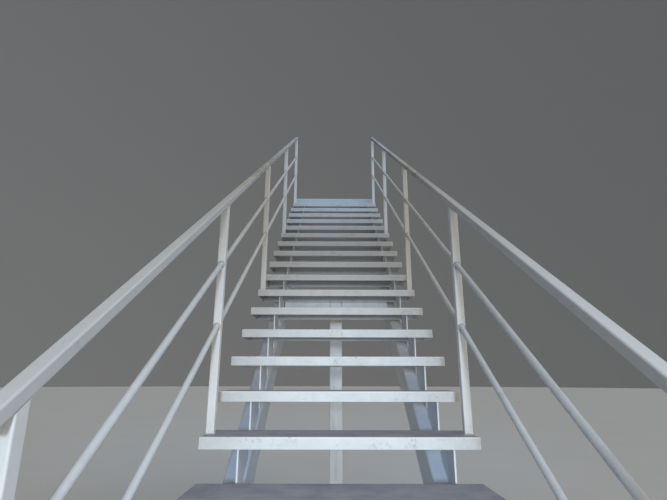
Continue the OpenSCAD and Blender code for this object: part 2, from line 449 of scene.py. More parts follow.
@built_once
def enamel(f, look, dust_and_shade=0.3, grime=0.3, streaks=0.3, chips=0.3, scuffs=0.0, under=0.5, tone=1.0, blue_shade=0.0,
           zones=()):
    """Off-white enamel with dust, grime, runs, rub marks and chips, painted shade on its downward faces, and
    smudges in the given zones, some of grime and some of painted shade.
    """
    colour = coat(f, look, tone, blue_shade)
    film = grime_and_shade_film(f, grime, streaks, zones)
    colour = f.mix(film, colour, look.grime)
    # Painted shade: the grime colour on faces turned down, under things
    colour = f.mix(f.times(f.ramp(f.facing_z, *FACES_DOWN), under), colour, look.grime)
    lying = lying_dust_and_shade(f, dust_and_shade)
    colour = f.mix(lying, colour, dust_and_shade_grains(f, look))
    rubbed, chipped = shoe_marks(f, scuffs, chips)
    colour = f.mix(rubbed, colour, look.scuff)
    colour = f.mix(chipped, colour, look.primer)

    matt = f.maths("ADD", f.times(f.maths("ADD", lying, film), 0.30), f.times(rubbed, 0.15))
    roughness = f.maths("ADD", matt, f.ramp(f.noise(scale=14.0), 0.3, 0.7, start=0.44, end=0.56))
    gloss = f.ramp(f.maths("MAXIMUM", lying, film), 0.1, 0.9, start=0.5, end=0.06)
    return f.close(colour, roughness, enamel_relief(f, look, chipped), gloss=gloss)


def coat(f, look, tone, blue_shade):
    """The clean enamel, aged in clouds, with a faint mottle and, as painted blue shade, a bluer share on
    faces turned from the front near the foot of the flight.
    """
    clean = toned(look.enamel, tone)
    aged = f.ramp(f.noise(scale=2.3, detail=3.0), 0.35, 0.68)
    colour = f.mix(aged, clean, toned(look.enamel_warm, tone))
    if blue_shade:
        # Painted shade: bluer enamel on faces turned from the front, towards the foot of the flight
        blue_shade_mask = f.times(f.ramp(f.facing_y, *FACES_AWAY), f.ramp(f.y, *BLUE_SHADE_FROM), blue_shade)
        colour = f.mix(blue_shade_mask, colour, toned(look.enamel_blue_shade, tone))
    mottle = f.times(f.ramp(f.noise(scale=30.0, detail=5.0, rough=0.65), 0.40, 0.74), 0.12)
    return f.mix(mottle, colour, toned(clean, 0.66))


def grime_and_shade_film(f, grime, streaks, zones):
    """Runs on upright faces, patches of grime, and smudges in the given zones, some of them painted shade."""
    run = f.noise(scale=24.0, detail=4.0, rough=0.62, stretch=(1.0, 1.0, 0.09))
    runs = f.times(f.ramp(run, 0.52, 0.80), f.ramp(f.facing_z, *STANDS_UP), streaks)
    patch = f.noise(scale=6.5, detail=7.0, rough=0.66, shift=3.1)
    film = f.maths("MAXIMUM", runs, f.times(f.ramp(patch, 0.50, 0.80), grime))
    for zone in zones:
        smudge = f.ramp(f.noise(scale=18.0, detail=5.0, rough=0.66, shift=6.6), 0.30, 0.66)
        film = f.maths("MAXIMUM", film, f.times(zone(f), smudge))
    return film


def lying_dust_and_shade(f, dust_and_shade):
    """Dust on level faces, in clouds, whose dark blue-grey also paints the shade on them."""
    cloud = f.ramp(f.noise(scale=7.0, detail=6.0, rough=0.66, shift=7.7), 0.28, 0.70, start=0.74, end=1.0)
    return f.times(f.ramp(f.facing_z, *LIES_LEVEL), cloud, dust_and_shade)


def dust_and_shade_grains(f, look):
    """Light and dark grains of the dust, whose blue-grey also paints the shade on level faces."""
    grit = f.ramp(f.noise(scale=210.0, detail=3.0, rough=0.6), 0.35, 0.75)
    return f.mix(grit, toned(look.dust_and_shade, 1.12), look.dust_and_shade_dark)


def shoe_marks(f, scuffs, chips):
    """Rub marks and chips, with the most of both where shoes have kicked."""
    rub = f.noise(scale=30.0, detail=5.0, rough=0.68, stretch=(0.55, 1.0, 1.4), shift=11.3)
    rub_zone = f.ramp(f.noise(scale=4.2, shift=5.2), 0.50, 0.62)
    rubbed = f.times(f.ramp(rub, 0.50, 0.64), rub_zone, scuffs)
    chip_zone = f.ramp(f.noise(scale=7.0, shift=9.4), 0.50, 0.66)
    if scuffs:
        broken = f.ramp(f.noise(scale=17.0, detail=3.0, rough=0.6, shift=4.9), 0.38, 0.60)
        kicked = f.times(f.kicked(), broken)
        scrape = f.noise(scale=75.0, detail=5.0, rough=0.68, stretch=(1.0, 1.0, 0.7), shift=8.1)
        rubbed = f.maths("MAXIMUM", rubbed, f.times(kicked, f.ramp(scrape, 0.46, 0.62), 0.45))
        chip_zone = f.maths("MAXIMUM", chip_zone, kicked)
    chipped = f.times(f.ramp(f.noise(scale=95.0, shift=2.9), 0.645, 0.675), chip_zone, chips)
    return rubbed, chipped


def enamel_relief(f, look, chipped):
    """Height of the sprayed enamel, with its chips sunk."""
    peel = f.times(f.noise(scale=150.0, detail=1.0), look.peel)
    wave = f.times(f.noise(scale=6.0, detail=1.0), look.wave)
    return f.maths("ADD", f.maths("ADD", peel, wave), f.times(chipped, -look.chip_depth))


def shade_under_treads(f):
    """Upward faces that lie under a tread, darkened there as painted shade."""
    place = f.maths("FRACT", f.maths("DIVIDE", f.maths("SUBTRACT", f.y, flight.front), flight.going))
    return f.times(f.ramp(place, 0.0, 0.12), f.ramp(place, 0.60, 0.22), f.ramp(f.facing_z, 0.3, 0.7), 0.15)


def near_foot(f):
    """The lowest part of each rail post, darkened with grime and with painted contact shade."""
    line = f.maths("MULTIPLY_ADD", f.y, flight.slope, flight.first_top - flight.front * flight.slope)
    return f.times(f.ramp(f.maths("SUBTRACT", f.z, line), *POST_FOOT), 0.25)


def shaded_tread_ends(f):
    """The outer ends of the treads' front lips, darkened as painted shade where the light falls off towards
    the sides.
    """
    return f.times(f.ramp(f.maths("ABSOLUTE", f.x), *TREAD_END), f.ramp(f.facing_y, *FACES_FRONT), 0.14)


def near_floor(f):
    """The lowest part of whatever stands on the floor."""
    return f.times(f.ramp(f.z, *SPLASHED), 0.6)


def handled(f):
    """The upper part of a top rail, rubbed brown by hands."""
    grip = f.ramp(f.noise(scale=3.0, detail=4.0, rough=0.6, shift=1.2), 0.25, 0.60, start=0.25, end=1.0)
    return f.times(f.ramp(f.y, *HANDLED_FROM), grip, 0.75)


@built_once
def fold_highlight_and_nicks(f, look):
    """Enamel on a tread's folds, lighter than the faces as a painted highlight, and thin and rubbed where
    feet catch it.
    """
    aged = f.ramp(f.noise(scale=3.0), 0.3, 0.7)
    # Painted highlight: the folds' enamel is lighter than the treads' faces
    colour = f.mix(aged, toned(look.enamel, 1.06), look.enamel_warm)
    nick = f.noise(scale=120.0, detail=4.0, rough=0.6, stretch=(0.5, 1.0, 1.0), shift=4.4)
    zone = f.ramp(f.noise(scale=5.0, shift=1.7), 0.42, 0.62)
    nicked = f.times(f.ramp(nick, 0.60, 0.66), zone, 0.85)
    colour = f.mix(nicked, colour, look.primer)
    roughness = f.ramp(f.noise(scale=20.0), 0.3, 0.7, start=0.30, end=0.42)
    return f.close(colour, roughness, f.times(nicked, -look.nick_depth))


@built_once
def weld_enamel(f, look):
    """Enamel over a weld bead, with grime in its hollows and painted shade on its underside."""
    aged = f.ramp(f.noise(scale=60.0, detail=3.0), 0.4, 0.7)
    colour = f.mix(aged, toned(look.enamel, 0.80), toned(look.enamel_warm, 0.84))
    soot_and_shade = f.times(f.ramp(f.noise(scale=110.0, detail=4.0, rough=0.65, shift=6.2), 0.45, 0.68), 0.4)
    # Painted shade: grime colour on the bead's downward faces
    soot_and_shade = f.maths("MAXIMUM", soot_and_shade, f.ramp(f.facing_z, -0.1, -0.7, start=0.0, end=0.6))
    colour = f.mix(soot_and_shade, colour, look.grime)
    roughness = f.ramp(soot_and_shade, 0.0, 0.6, start=0.42, end=0.68)
    return f.close(colour, roughness, f.times(f.noise(scale=700.0), look.bead_grain))


@built_once
def zinc_steel(f, look):
    """Zinc-plated steel of the anchor bolts, dulled and stained."""
    bloom = f.ramp(f.noise(scale=160.0, detail=4.0, rough=0.6), 0.35, 0.7)
    colour = f.mix(bloom, look.zinc, toned(look.zinc, 0.62))
    stain = f.times(f.ramp(f.noise(scale=45.0, detail=4.0, rough=0.6, shift=2.2), 0.52, 0.72), 0.7)
    colour = f.mix(stain, colour, look.grime)
    roughness = f.ramp(bloom, 0.0, 1.0, start=0.34, end=0.55)
    metal = f.ramp(stain, 0.0, 0.7, start=0.9, end=0.1)
    return f.close(colour, roughness, f.times(f.noise(scale=900.0), look.zinc_grain), metal)


def bare_mesh(node):
    """The node's mesh with its split corners joined and each flat face whole."""
    bm = bmesh.new()
    bm.from_mesh(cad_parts[node].data)
    bmesh.ops.remove_doubles(bm, verts=bm.verts, dist=JOIN_DISTANCE)
    bmesh.ops.dissolve_limit(bm, angle_limit=FLAT_ANGLE, verts=bm.verts, edges=bm.edges)
    return bm


def runs_along(edge, axis):
    """Whether an edge lies along an axis."""
    first, last = (vert.co for vert in edge.verts)
    return abs((last - first).normalized().dot(axis)) > PARALLEL


def add_piece(name, bm, materials, nodes=()):
    """Turns a bmesh into a smooth-shaded piece that rides on the stair."""
    for face in bm.faces:
        face.smooth = True
    for edge in bm.edges:
        edge.smooth = True
    mesh = bpy.data.meshes.new(name)
    bm.to_mesh(mesh)
    bm.free()
    if "custom_normal" in mesh.attributes:
        mesh.attributes.remove(mesh.attributes["custom_normal"])
    mesh.materials.clear()
    for material in materials:
        mesh.materials.append(material)
    piece = bpy.data.objects.new(name, mesh)
    bpy.context.scene.collection.objects.link(piece)
    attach(piece, BODY)
    if nodes:
        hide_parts(*nodes)
    return piece


def round_piece(piece, widest, steps, edge_slot=-1):
    """Rounds the edges that carry a bevel weight."""
    rounded = piece.modifiers.new("rounded_edges", "BEVEL")
    rounded.limit_method = "WEIGHT"
    rounded.offset_type = "OFFSET"
    rounded.width = widest
    rounded.segments = steps
    rounded.material = edge_slot
    rounded.harden_normals = True


def dress_node(node, name, material, radius_of, steps=None):
    """Stands a rounded copy of a node in its place, with radius_of giving the radius of each sharp edge."""
    bm = bare_mesh(node)
    for face in bm.faces:
        face.material_index = 0
    weight = bm.edges.layers.float.new("bevel_weight_edge")
    sharp = {edge: radius_of(edge) for edge in bm.edges if edge.calc_face_angle(0.0) > SHARP_ANGLE}
    widest = max(sharp.values())
    for edge, radius in sharp.items():
        edge[weight] = radius / widest
    piece = add_piece(name, bm, [material], [node])
    round_piece(piece, widest, steps or bpy.context.scene.stair_rounding.steps)


def tube_radius(axis, radius, cut):
    """Radius rule for a tube: radius on the edges along its axis, cut on the others."""
    return lambda edge: radius if runs_along(edge, axis) else cut


def dress_tray(node, name, materials):
    """Stands a folded and rounded copy of a tread or of the landing edge in its place."""
    sizes = bpy.context.scene.stair_rounding
    low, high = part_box(node)
    middle = (low + high) / 2
    bm = bare_mesh(node)

    def outside(vert):
        on_side = min(abs(vert.co.x - low.x), abs(vert.co.x - high.x)) < JOIN_DISTANCE
        on_front = min(abs(vert.co.y - low.y), abs(vert.co.y - high.y)) < JOIN_DISTANCE
        return on_side or on_front

    def radius(edge):
        first, last = edge.verts
        at_top = min(first.co.z, last.co.z) > high.z - JOIN_DISTANCE
        if at_top:
            return sizes.fold
        if max(first.co.z, last.co.z) < low.z + JOIN_DISTANCE:
            return sizes.plate
        if runs_along(edge, AXIS_Z):
            return sizes.tray_corner if outside(first) and outside(last) else sizes.fold_inside
        return sizes.fold_inside

    weight = bm.edges.layers.float.new("bevel_weight_edge")
    sharp = {edge: radius(edge) for edge in bm.edges if edge.calc_face_angle(0.0) > SHARP_ANGLE}
    widest = max(sharp.values())
    for edge, size in sharp.items():
        edge[weight] = size / widest
    for face in bm.faces:
        centre = face.calc_center_median()
        inward = (centre - middle).dot(face.normal) < 0
        face.material_index = INNER if inward or face.normal.z < FACING_DOWN else OUTER
    piece = add_piece(name, bm, materials, [node])
    round_piece(piece, widest, sizes.steps, FOLDS)


def islands(node):
    """Corner points of each separate part of a node, in order along the flight."""
    bm = bare_mesh(node)
    waiting = set(bm.verts)
    parts = []
    while waiting:
        reached = [waiting.pop()]
        for vert in reached:
            for edge in vert.link_edges:
                other = edge.other_vert(vert)
                if other in waiting:
                    waiting.discard(other)
                    reached.append(other)
        parts.append([vert.co.copy() for vert in reached])
    bm.free()
    return sorted(parts, key=lambda part: min(point.y for point in part))


def extent(points):
    """Lowest and highest corner of the box round some points."""
    low = Vector(min(point[axis] for point in points) for axis in range(3))
    high = Vector(max(point[axis] for point in points) for axis in range(3))
    return low, high


def close_to(value, target):
    """Whether two lengths are the same."""
    return abs(value - target) < 10 * JOIN_DISTANCE


class Welder:
    """Lays weld beads into one mesh."""

    def __init__(self, seed):
        self.bm = bmesh.new()
        self.random = random.Random(seed)
        self.sizes = bpy.context.scene.stair_welds

    def ring(self, point, out_a, out_b, leg):
        """One section of a bead in the corner between two faces, with its back just under them."""
        section = [point - (out_a + out_b) * leg * BEAD_BACK]
        for step in range(BEAD_FACETS + 1):
            angle = step * math.pi / 2 / BEAD_FACETS
            bulge = leg * (1 - BEAD_HOLLOW * math.sin(2 * angle))
            section.append(point + (out_a * math.cos(angle) + out_b * math.sin(angle)) * bulge)
        return [self.bm.verts.new(corner) for corner in section]

    def bead(self, path, leg, closed=False):
        """Sweeps a rippled bead along stops of (point, direction on one face, direction on the other)."""
        stops = list(path) + [path[0]] if closed else list(path)
        samples = []
        for (start, a0, b0), (end, a1, b1) in zip(stops, stops[1:]):
            reach = max((end - start).length, (a1 - a0).length * leg, (b1 - b0).length * leg)
            count = max(1, round(reach / (self.sizes.ripple / 2)))
            for index in range(count):
                t = index / count
                samples.append((start.lerp(end, t), a0.lerp(a1, t).normalized(), b0.lerp(b1, t).normalized()))
        if not closed:
            samples.append(stops[-1])
        rings = []
        for index, (point, out_a, out_b) in enumerate(samples):
            size = leg * self.random.uniform(*BEAD_SWING)
            if index % 2:
                size *= 1 - self.sizes.depth
            if not closed and index in (0, len(samples) - 1):
                size *= BEAD_END
            rings.append(self.ring(point, out_a, out_b, size))
        pairs = list(zip(rings, rings[1:]))
        if closed:
            pairs.append((rings[-1], rings[0]))
        for first, second in pairs:
            for corner in range(len(first)):
                following = (corner + 1) % len(first)
                self.bm.faces.new((first[corner], first[following], second[following], second[corner]))
        if not closed:
            self.bm.faces.new(rings[0])
            self.bm.faces.new(list(reversed(rings[-1])))

    def straight(self, start, end, out_a, out_b, leg):
        """A bead along one straight seam."""
        self.bead([(start, out_a, out_b), (end, out_a, out_b)], leg)

    def stitches(self, start, end, out_a, out_b, leg):
        """Short beads spread along a seam, the first and the last at its ends."""
        along = end - start
        share_each = min(1.0, self.sizes.stitch / along.length)
        for index in range(STITCHES):
            begin = index / (STITCHES - 1) * (1 - share_each)
            self.straight(start + along * begin, start + along * (begin + share_each), out_a, out_b, leg)

    def corner(self, centre, first, second, along_first, along_second):
        """Stops round a tube's rounded corner, from the side facing first to the side facing second."""
        stops = []
        for step in range(CORNER_FACETS + 1):
            t = step / CORNER_FACETS
            angle = t * math.pi / 2
            point = centre + first * math.cos(angle) + second * math.sin(angle)
            out = first.normalized() * math.cos(angle) + second.normalized() * math.sin(angle)
            stops.append((point, out, along_first.lerp(along_second, t).normalized()))
        return stops

    def tube_end(self, centre, halves, rounds, alongs, leg):
        """A closed bead round a tube's end, with the tube's corners rounded."""
        sides = [(sign * half, sign * around) for sign in (1, -1) for half, around in zip(halves, rounds)]
        path = []
        for index in range(4):
            following = (index + 1) % 4
            (half_a, round_a), (half_b, round_b) = sides[index], sides[following]
            middle = centre + half_a - round_a + half_b - round_b
            path += self.corner(middle, round_a, round_b, alongs[index], alongs[following])
        self.bead(path, leg, closed=True)

    def bar_end(self, rim, normal, along, leg):
        """A closed bead round a round bar's end on a face."""
        centre = sum(rim, Vector()) / len(rim)
        rim = sorted(rim, key=lambda point: math.atan2(point.z - centre.z, point.x - centre.x))[::2]
        path = []
        for index, point in enumerate(rim):
            tangent = rim[(index + 1) % len(rim)] - rim[index - 1]
            out = tangent.cross(normal).normalized()
            if out.dot(point - centre) < 0:
                out = -out
            path.append((point, out, along))
        self.bead(path, leg, closed=True)

    def finish(self, name):
        """Makes the piece."""
        bmesh.ops.recalc_face_normals(self.bm, faces=self.bm.faces)
        add_piece(name, self.bm, [weld_enamel("enamelled_welds")])


def hex_radius(angle, across):
    """Distance from a nut's middle to its side at an angle."""
    sixth = math.pi / 3
    return across / 2 / math.cos((angle + sixth / 2) % sixth - sixth / 2)


def add_rings(bm, rings, place, sides=BOLT_SIDES):
    """Skins a stack of rings of (radius by angle, height), closed at both ends."""
    made = []
    for radius_at, height_at in rings:
        ring = []
        for side in range(sides):
            angle = 2 * math.pi * side / sides
            radius = radius_at(angle)
            corner = Vector((radius * math.cos(angle), radius * math.sin(angle), height_at(angle)))
            ring.append(bm.verts.new(place @ corner))
        made.append(ring)
    for lower, upper in zip(made, made[1:]):
        for side in range(sides):
            following = (side + 1) % sides
            bm.faces.new((lower[side], lower[following], upper[following], upper[side]))
    bm.faces.new(list(reversed(made[0])))
    bm.faces.new(made[-1])


def flat(value):
    """A rule that gives the same size everywhere."""
    return lambda _: value


def add_bolt(bm, place, turn, plate_t):
    """A washer, a chamfered nut and a threaded stud, standing along the place's own Z."""
    sizes = bpy.context.scene.stair_bolts
    washer = sizes.washer / 2
    add_rings(bm, [(flat(washer), flat(0.0)), (flat(washer), flat(sizes.washer_t - sizes.rim)),
                   (flat(washer - sizes.rim), flat(sizes.washer_t))], place)
    top = sizes.washer_t + sizes.nut
    face = sizes.across / 2 * sizes.nut_face

    def side(angle):
        return hex_radius(angle + turn, sizes.across)

    def chamfer(angle):
        return (side(angle) - face) * math.tan(NUT_SLOPE)

    add_rings(bm, [(flat(face), flat(sizes.washer_t)), (side, lambda angle: sizes.washer_t + chamfer(angle)),
                   (side, lambda angle: top - chamfer(angle)), (flat(face), flat(top))], place)
    stud, half_pitch = sizes.stud / 2, sizes.pitch / 2
    rings = [(flat(stud), flat(sizes.off_floor - plate_t)), (flat(stud), flat(top - sizes.pitch))]
    for step in range(round(sizes.beyond / half_pitch)):
        radius = stud - (sizes.thread if step % 2 else 0.0)
        rings.append((flat(radius), flat(top - half_pitch + step * half_pitch)))
    rings.append((flat(stud - sizes.tip), flat(top + sizes.beyond)))
    add_rings(bm, rings, place)


def add_drip(bm, place, size, drop):
    """A paint drip that hangs from a lip's lower edge."""
    rings = [(flat(size * wide), flat(-drop * deep)) for wide, deep in DRIP_PROFILE]
    add_rings(bm, list(reversed(rings)), place, DRIP_SIDES)


class STAIR_OT_camera(bpy.types.Operator):
    """Adds the camera at the foot of the flight"""

    bl_idname = "stair.camera"
    bl_label = "Add camera"

    def execute(self, context):
        view = context.scene.stair_view
        data = bpy.data.cameras.new("stair_camera")
        data.lens = view.lens
        data.sensor_width = view.sensor
        data.clip_end = view.reach
        camera = bpy.data.objects.new("stair_camera", data)
        turn = Matrix.Rotation(-view.turn, 4, "Z")
        tilt = Matrix.Rotation(math.pi / 2 + view.tilt, 4, "X")
        roll = Matrix.Rotation(view.roll, 4, "Z")
        place = Matrix.Translation((view.aside, view.along, view.height))
        camera.matrix_world = place @ turn @ tilt @ roll
        context.scene.collection.objects.link(camera)
        context.scene.camera = camera
        return {"FINISHED"}


class STAIR_OT_stage(bpy.types.Operator):
    """Adds the pale floor, the plain backdrop and the soft lights"""

    bl_idname = "stair.stage"
    bl_label = "Add stage"

    def execute(self, context):
        stage = context.scene.stair_stage
        context.scene.view_settings.view_transform = "Standard"
        self.add_floor(context, stage)
        self.add_dome(context, stage)
        self.add_sky(context, stage)
        key = bpy.data.lights.new("key_light", "SPOT")
        key.spot_size = stage.key_angle
        key.spot_blend = stage.key_blend
        key.shadow_soft_size = stage.key_radius
        key.energy = stage.key_power
        key.color = stage.key_colour
        self.add_lamp(context, key, stage.key_place, stage.key_target, stage.key_width)
        hall = bpy.data.lights.new("hall_light", "AREA")
        hall.size = stage.hall_size
        hall.spread = stage.hall_spread
        hall.energy = stage.hall_power
        hall.color = stage.hall_colour
        self.add_lamp(context, hall, stage.hall_place, stage.hall_target)
        return {"FINISHED"}

    def add_lamp(self, context, data, place, target, width=1.0):
        """Stands a lamp at a place, turned to its target, with its beam made narrower across."""
        lamp = bpy.data.objects.new(data.name, data)
        place = Vector(place)
        turn = (Vector(target) - place).to_track_quat("-Z", "Y").to_matrix().to_4x4()
        lamp.matrix_world = Matrix.Translation(place) @ turn @ Matrix.Diagonal((width, 1.0, 1.0, 1.0))
        context.scene.collection.objects.link(lamp)

    def add_floor(self, context, stage):
        """A wide level floor with a faint mottle."""
        bm = bmesh.new()
        bmesh.ops.create_grid(bm, x_segments=FLOOR_CELLS, y_segments=FLOOR_CELLS, size=stage.floor_size / 2)
        f = Finish("floor_matt")
        cloud = f.ramp(f.noise(scale=0.8, detail=3.0), 0.3, 0.7)
        colour = f.mix(cloud, stage.floor, toned(stage.floor, 0.975))
        grain = f.times(f.noise(scale=30.0), stage.floor_grain)
        self.add_backing(context, "floor", bm, f.close(colour, stage.floor_matt, grain))

    def add_dome(self, context, stage):
        """A plain grey dome that only the camera sees."""
        bm = bmesh.new()
        radius = stage.floor_size * stage.dome_share
        bmesh.ops.create_uvsphere(bm, u_segments=DOME_GORES, v_segments=DOME_GORES // 2, radius=radius)
        for face in bm.faces:
            face.smooth = True
        rays = ("diffuse", "glossy", "transmission", "volume_scatter", "shadow")
        self.add_backing(context, "dome", bm, self.even_grey(stage), rays)

    def add_backing(self, context, name, bm, material, unseen_by=()):
        """Makes one piece of the stage, which some kinds of light rays pass by."""
        mesh = bpy.data.meshes.new(name)
        bm.to_mesh(mesh)
        bm.free()
        mesh.materials.append(material)
        piece = bpy.data.objects.new(name, mesh)
        for ray in unseen_by:
            setattr(piece, f"visible_{ray}", False)
        context.scene.collection.objects.link(piece)

    def add_sky(self, context, stage):
        """Soft light from all round, with wide soft glows in it."""
        world = bpy.data.worlds.new("soft_light")
        world.use_nodes = True
        tree = world.node_tree
        colour = tree.nodes.new("ShaderNodeRGB").outputs["Color"]
        colour.default_value = (*stage.ambient, 1.0)
        for name, towards, edge in GLOWS:
            colour = self.add_glow(tree, colour, towards, edge, getattr(stage, name))
        tree.links.new(colour, tree.nodes["Background"].inputs["Color"])
        world.cycles.sampling_method = "NONE"
        context.scene.world = world

    def even_grey(self, stage):
        """The dome's material, which shines by itself so that it is equally bright all over."""
        f = Finish("dome_matt")
        grey = f.mix(f.noise(scale=0.1), toned(stage.backdrop, 0.99), stage.backdrop)
        inputs = {"Base Color": DOME_GREY, "Roughness": 1.0, "Specular IOR Level": 0.0,
                  "Emission Color": grey, "Emission Strength": stage.backdrop_shine}
        material = f.end(inputs)
        material.cycles.emission_sampling = "NONE"
        return material

    def add_glow(self, tree, colour, towards, edge, glow):
        """Adds a round soft glow to the sky, full at its middle and gone where the cosine falls to edge."""
        place = tree.nodes.new("ShaderNodeTexCoord").outputs["Generated"]
        cosine = tree.nodes.new("ShaderNodeVectorMath")
        cosine.operation = "DOT_PRODUCT"
        cosine.inputs[1].default_value = Vector(towards).normalized()
        tree.links.new(place, cosine.inputs[0])
        fall = tree.nodes.new("ShaderNodeMapRange")
        fall.interpolation_type = "SMOOTHSTEP"
        fall.inputs["From Min"].default_value = edge
        tree.links.new(cosine.outputs["Value"], fall.inputs["Value"])
        add = tree.nodes.new("ShaderNodeMix")
        add.data_type = "RGBA"
        add.blend_type = "ADD"
        tree.links.new(fall.outputs["Result"], add.inputs[MIX_FACTOR])
        tree.links.new(colour, add.inputs[MIX_UNDER])
        add.inputs[MIX_OVER].default_value = (*glow, 1.0)
        return add.outputs[2]


class STAIR_OT_treads(bpy.types.Operator):
    """Folds the treads and the landing edge"""

    bl_idname = "stair.treads"
    bl_label = "Fold treads"

    def execute(self, context):
        materials = [
            enamel("worn_treads", dust_and_shade=1.0, grime=0.12, streaks=0.10, chips=0.35, scuffs=0.4, tone=0.96,
                   zones=(shaded_tread_ends,)),
            # Painted shade: the treads' inner and lower faces get darker enamel and more grime underneath
            enamel("worn_tread_insides", grime=0.55, streaks=0.3, chips=0.2, under=0.85, tone=0.72),
            fold_highlight_and_nicks("worn_tread_folds"),
        ]
        for node in flight.treads:
            dress_tray(node, f"{node}_plate", materials)
        dress_tray("landing_edge", "landing_edge_plate", materials)
        return {"FINISHED"}


class STAIR_OT_stringers(bpy.types.Operator):
    """Rounds the two stringer tubes"""

    bl_idname = "stair.stringers"
    bl_label = "Round stringers"

    def execute(self, context):
        sizes = context.scene.stair_rounding
        material = enamel("worn_stringers", grime=0.08, streaks=0.06, chips=0.25, tone=1.05, blue_shade=0.8,
                          zones=(shade_under_treads, near_floor))
        rule = tube_radius(flight.up_slope, sizes.stringer, sizes.plate)
        for side in SIDES:
            dress_node(f"stringer_{side}", f"stringer_{side}_tube", material, rule)
        return {"FINISHED"}


class STAIR_OT_gussets(bpy.types.Operator):
    """Eases the cut edges of the gussets"""

    bl_idname = "stair.gussets"
    bl_label = "Ease gussets"

    def execute(self, context):
        edge = context.scene.stair_rounding.plate
        material = enamel("worn_gussets", grime=0.06, streaks=0.06, chips=0.3, tone=1.10, blue_shade=0.9)
        for side in SIDES:
            node = f"gussets_{side}"
            dress_node(node, f"{node}_plates", material, flat(edge), EASED_STEPS)
        return {"FINISHED"}


class STAIR_OT_plates(bpy.types.Operator):
    """Eases the foot, base and end plates"""

    bl_idname = "stair.plates"
    bl_label = "Ease plates"

    def execute(self, context):
        edge = context.scene.stair_rounding.plate
        material = enamel("worn_plates", dust_and_shade=0.8, grime=0.5, streaks=0.2, chips=0.5, tone=0.9)
        for node in ("foot_plate_left", "foot_plate_right", "end_plate_left", "end_plate_right",
                     "post_base_plate", "post_cap"):
            dress_node(node, f"{node}_steel", material, flat(edge), EASED_STEPS)
        return {"FINISHED"}


class STAIR_OT_posts(bpy.types.Operator):
    """Rounds the rail posts and the centre post"""

    bl_idname = "stair.posts"
    bl_label = "Round posts"

    def execute(self, context):
        sizes = context.scene.stair_rounding
        material = enamel("worn_posts", grime=0.04, streaks=0.04, chips=0.3, tone=1.17, blue_shade=0.3,
                          zones=(near_foot,))
        rule = tube_radius(AXIS_Z, sizes.post, sizes.plate)
        for side in SIDES:
            dress_node(f"rail_posts_{side}", f"rail_posts_{side}_tubes", material, rule)
        rule = tube_radius(AXIS_Z, sizes.trestle, sizes.plate)
        material = enamel("worn_centre_post", grime=0.15, streaks=0.22, chips=0.3, tone=1.0, blue_shade=0.5,
                          zones=(near_floor,))
        dress_node("centre_post", "centre_post_tube", material, rule)
        return {"FINISHED"}


class STAIR_OT_rails(bpy.types.Operator):
    """Rounds the top rails and the middle rails"""

    bl_idname = "stair.rails"
    bl_label = "Round rails"

    def execute(self, context):
        sizes = context.scene.stair_rounding
        top = enamel("worn_top_rails", dust_and_shade=0.10, grime=0.12, streaks=0.0, chips=0.25, tone=0.95, blue_shade=0.3,
                     zones=(handled,))
        bar = enamel("worn_bars", dust_and_shade=0.1, grime=0.25, streaks=0.0, chips=0.2, tone=0.98, blue_shade=0.45)
        rule = tube_radius(flight.up_slope, sizes.rail, sizes.plate * 2)
        for side in SIDES:
            dress_node(f"top_rail_{side}", f"top_rail_{side}_tube", top, rule)
            for level in ("upper", "lower"):
                name = f"{level}_mid_rail_{side}"
                dress_node(name, f"{name}_bars", bar, flat(sizes.plate), EASED_STEPS)
        return {"FINISHED"}


class STAIR_OT_beams(bpy.types.Operator):
    """Rounds the two halves of the cross beam"""

    bl_idname = "stair.beams"
    bl_label = "Round cross beam"

    def execute(self, context):
        sizes = context.scene.stair_rounding
        material = enamel("worn_beams", grime=0.3, streaks=0.2, chips=0.2)
        rule = tube_radius(AXIS_X, sizes.trestle, sizes.plate)
        for side in SIDES:
            dress_node(f"cross_beam_{side}", f"cross_beam_{side}_tube", material, rule)
        return {"FINISHED"}


class STAIR_OT_gusset_welds(bpy.types.Operator):
    """Welds the gussets to the treads and the stringers"""

    bl_idname = "stair.gusset_welds"
    bl_label = "Weld gussets"

    def execute(self, context):
        leg = context.scene.stair_welds.gusset_leg
        for index, side in enumerate(SIDES):
            weld = Welder(GUSSET_SEED + index)
            for points in islands(f"gussets_{side}"):
                self.weld_gusset(weld, points, leg)
            weld.finish(f"gusset_welds_{side}")
        return {"FINISHED"}

    def weld_gusset(self, weld, points, leg):
        """Stitches along a gusset's head, beads along its foot, and one turned round its front edge."""
        low, high = extent(points)
        turn = weld.sizes.turn
        for x, out in ((low.x, -AXIS_X), (high.x, AXIS_X)):
            start, end = Vector((x, low.y + turn, high.z)), Vector((x, high.y, high.z))
            weld.stitches(start, end, out, -AXIS_Z, leg)
            foot = [point for point in points if close_to(point.x, x) and not close_to(point.z, high.z)]
            foot.sort(key=lambda point: point.y)
            for first, second in zip(foot, foot[1:]):
                up = AXIS_Z if close_to(first.z, second.z) else flight.off_slope
                weld.straight(first, second, out, up, leg)
        self.turn_round_front(weld, low, high, turn, leg)

    def turn_round_front(self, weld, low, high, turn, leg):
        """A bead under the tread, from one face of a gusset round its front edge to the other face."""
        weld.bead([
            (Vector((low.x, low.y + turn, high.z)), -AXIS_X, -AXIS_Z),
            (Vector((low.x, low.y, high.z)), -AXIS_X, -AXIS_Z),
            (Vector((low.x, low.y, high.z)), -AXIS_Y, -AXIS_Z),
            (Vector((high.x, low.y, high.z)), -AXIS_Y, -AXIS_Z),
            (Vector((high.x, low.y, high.z)), AXIS_X, -AXIS_Z),
            (Vector((high.x, low.y + turn, high.z)), AXIS_X, -AXIS_Z),
        ], leg)


